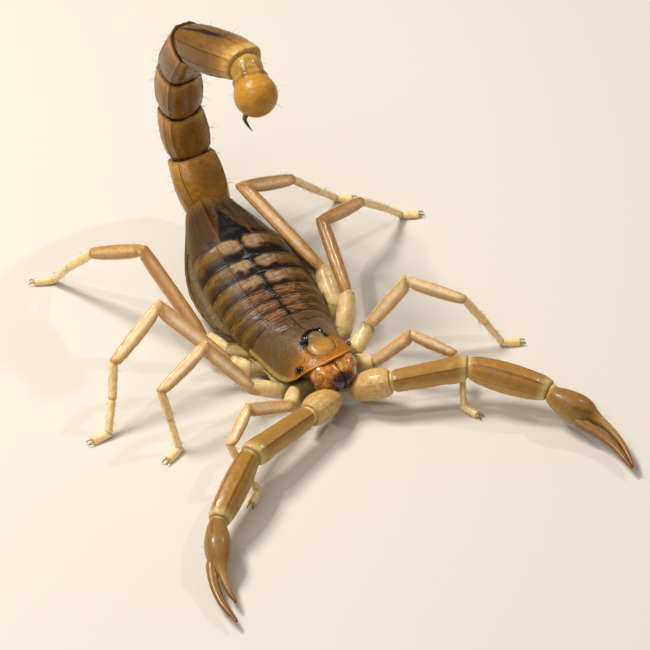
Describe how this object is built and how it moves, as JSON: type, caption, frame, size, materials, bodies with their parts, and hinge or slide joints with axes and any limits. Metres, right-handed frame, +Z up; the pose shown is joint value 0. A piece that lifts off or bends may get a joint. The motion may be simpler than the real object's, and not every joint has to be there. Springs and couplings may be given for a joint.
{
  "type": "scorpion",
  "caption": "Life-size desert scorpion on eight legs, slender claws held open in front and a thick tail curled up over the back.",
  "frame": {"origin": "on the floor, under the middle of the animal's box", "axes": "+Z up; the head faces -Y, the animal's left side is +X"},
  "size_m": [0.0334, 0.0432, 0.0218],
  "materials": {
    "amber_shell": "smooth translucent amber shell of the tail, satin gloss, with darker granulated keels",
    "olive_plate": "olive brown back plates, dark along their rear edges, satin gloss over fine grain",
    "head_shell": "grey brown to orange shell of the head, thin and translucent, satin gloss",
    "pale_leg": "pale yellow translucent leg shell with orange brown ridges, satin gloss",
    "tan_pedipalp": "tan orange shell of the claw arms with rows of dark grains, satin gloss",
    "pale_flank": "soft pale yellow skin of the flanks and underside",
    "jaw": "glossy orange brown jaws with dark netted tips",
    "black_eye": "glossy black eye lens",
    "black_sting": "glossy black brown sting"
  },
  "bodies": {
    "root": {"belly": "pale_flank", "carapace": "head_shell", "chelicera_l": "jaw", "chelicera_r": "jaw", "eye_lateral_l": "black_eye", "eye_lateral_r": "black_eye", "eye_median_l": "black_eye", "eye_median_r": "black_eye", "leg_l1_femur": "pale_leg", "leg_l1_foot": "pale_leg", "leg_l1_patella": "pale_leg", "leg_l2_femur": "pale_leg", "leg_l2_foot": "pale_leg", "leg_l2_patella": "pale_leg", "leg_l3_femur": "pale_leg", "leg_l3_foot": "pale_leg", "leg_l3_patella": "pale_leg", "leg_l4_femur": "pale_leg", "leg_l4_foot": "pale_leg", "leg_l4_patella": "pale_leg", "leg_r1_femur": "pale_leg", "leg_r1_foot": "pale_leg", "leg_r1_patella": "pale_leg", "leg_r2_femur": "pale_leg", "leg_r2_foot": "pale_leg", "leg_r2_patella": "pale_leg", "leg_r3_femur": "pale_leg", "leg_r3_foot": "pale_leg", "leg_r3_patella": "pale_leg", "leg_r4_femur": "pale_leg", "leg_r4_foot": "pale_leg", "leg_r4_patella": "pale_leg", "pecten_l": "pale_flank", "pecten_r": "pale_flank", "pedipalp_l_femur": "tan_pedipalp", "pedipalp_l_finger": "tan_pedipalp", "pedipalp_l_hand": "tan_pedipalp", "pedipalp_l_patella": "tan_pedipalp", "pedipalp_l_trochanter": "tan_pedipalp", "pedipalp_r_femur": "tan_pedipalp", "pedipalp_r_finger": "tan_pedipalp", "pedipalp_r_hand": "tan_pedipalp", "pedipalp_r_patella": "tan_pedipalp", "pedipalp_r_trochanter": "tan_pedipalp", "sternum": "pale_flank", "sting": "black_sting", "tail_1": "amber_shell", "tail_2": "amber_shell", "tail_3": "amber_shell", "tail_4": "amber_shell", "tail_5": "amber_shell", "tergite_1": "olive_plate", "tergite_2": "olive_plate", "tergite_3": "olive_plate", "tergite_4": "olive_plate", "tergite_5": "olive_plate", "tergite_6": "olive_plate", "tergite_7": "olive_plate", "vesicle": "amber_shell"}
  },
  "joints": []
}
